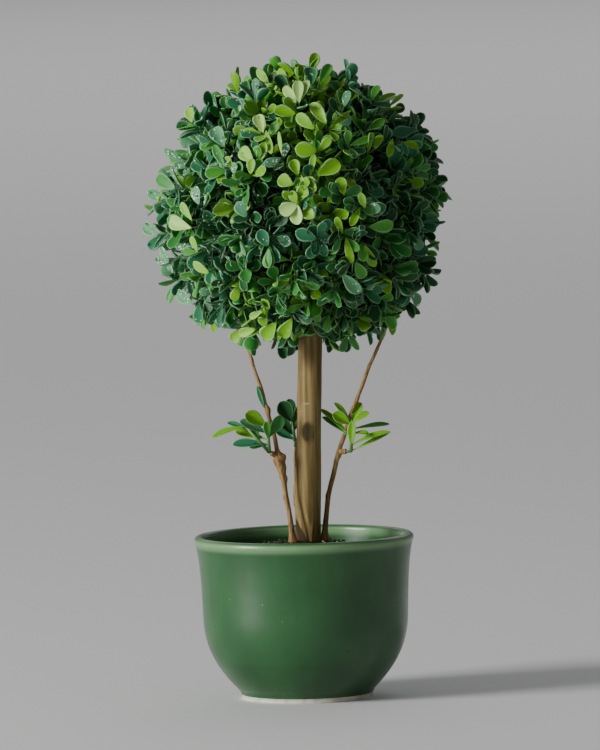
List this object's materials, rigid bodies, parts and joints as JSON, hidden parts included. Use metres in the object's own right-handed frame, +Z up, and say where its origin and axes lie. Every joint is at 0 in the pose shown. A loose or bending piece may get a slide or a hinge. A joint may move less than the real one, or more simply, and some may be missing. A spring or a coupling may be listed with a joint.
{
  "type": "artificial topiary ball tree in a glazed pot",
  "caption": "A clipped ball of plastic leaves on a straight wooden stick, with thin leafy twigs beside it, standing in a round glazed cup",
  "frame": {"origin": "the middle of the pot's underside, in the plane it stands on", "axes": "+Z up along the tree, +X to the right and -Y to the front as in the picture"},
  "size_m": [0.1398, 0.1379, 0.2891],
  "materials": {
    "pot": "gloss",
    "fill": "matte",
    "trunk": "matte",
    "stem": "matte",
    "leaf": "satin"
  },
  "bodies": {
    "root": {"pot": "pot", "fill": "fill", "trunk": "trunk", "left_stem": "stem", "right_stem": "stem", "back_stem": "stem", "crown": "leaf", "left_spray": "leaf", "right_spray": "leaf", "back_spray": "leaf"}
  },
  "joints": []
}
